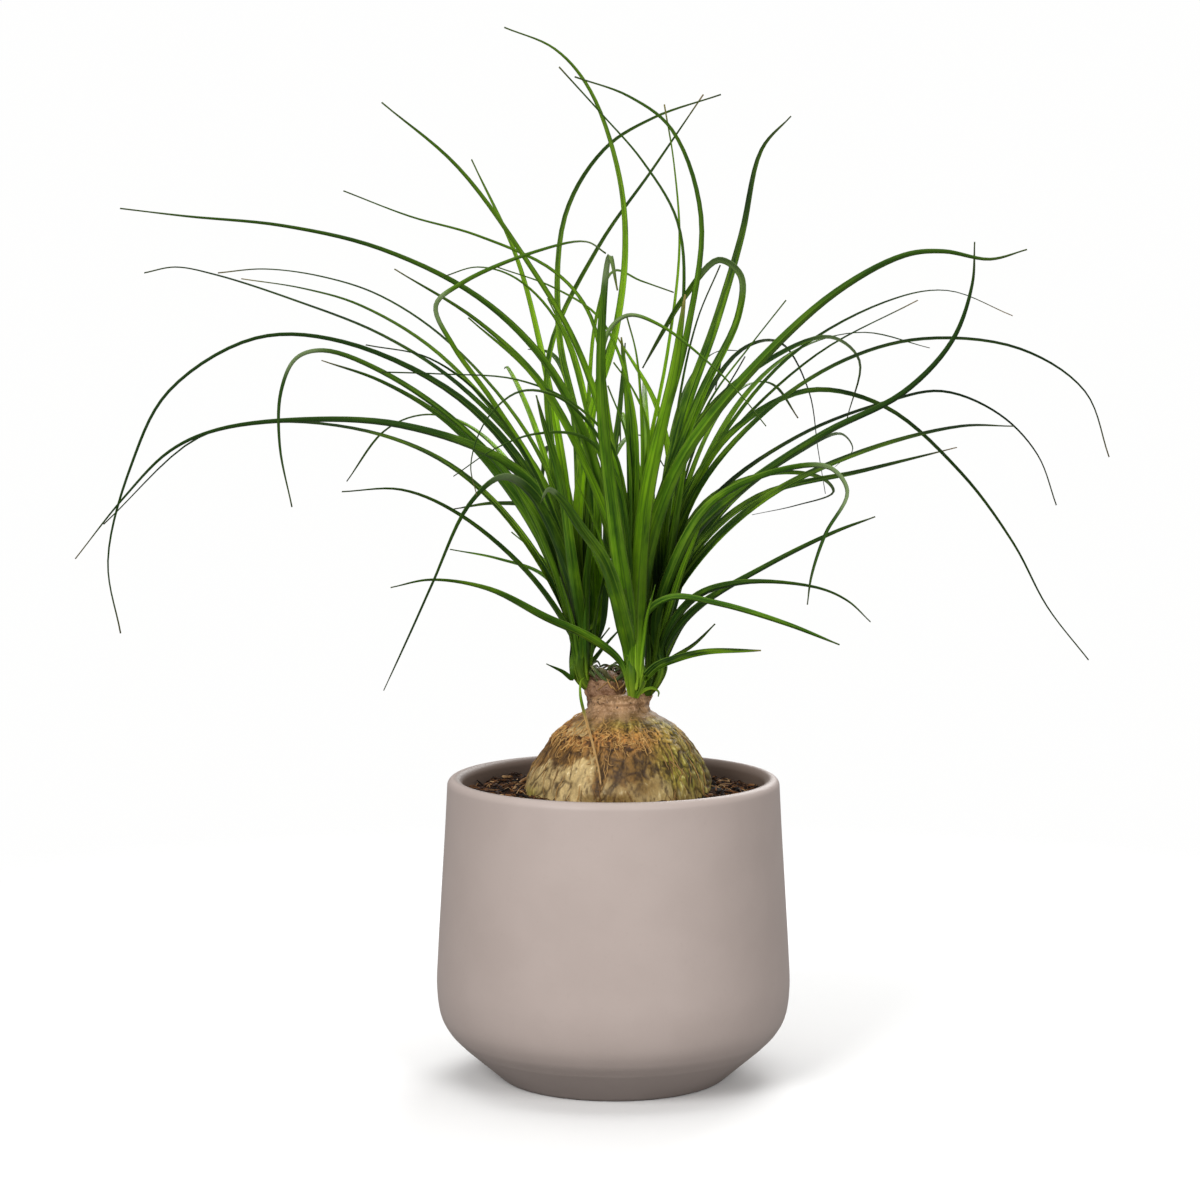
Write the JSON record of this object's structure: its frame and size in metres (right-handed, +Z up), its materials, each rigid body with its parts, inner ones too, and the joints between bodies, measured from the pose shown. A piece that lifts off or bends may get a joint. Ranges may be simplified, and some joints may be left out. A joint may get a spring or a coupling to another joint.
{
  "type": "potted ponytail palm",
  "caption": "Young ponytail palm with a swollen trunk and long arching strap leaves, planted in a round matte pot with a chamfered foot.",
  "frame": {"origin": "middle of the pot's flat foot, on the surface that it stands on", "axes": "+Z up along the pot's axis, +X to the right and -Y towards the viewer, as the plant is seen from the front"},
  "size_m": [0.5378, 0.4008, 0.5489],
  "materials": {
    "pot": "matte, unglazed, warm taupe",
    "soil": "dry coir and bark fibre",
    "bark": "cracked corky bark, tan to orange brown",
    "leaf": "satin green strap leaf, paler underneath"
  },
  "bodies": {
    "root": {"pot": "pot", "soil": "soil", "caudex": "bark", "leaf_head_left": "leaf", "leaf_head_front": "leaf", "leaf_head_right": "leaf"}
  },
  "joints": []
}
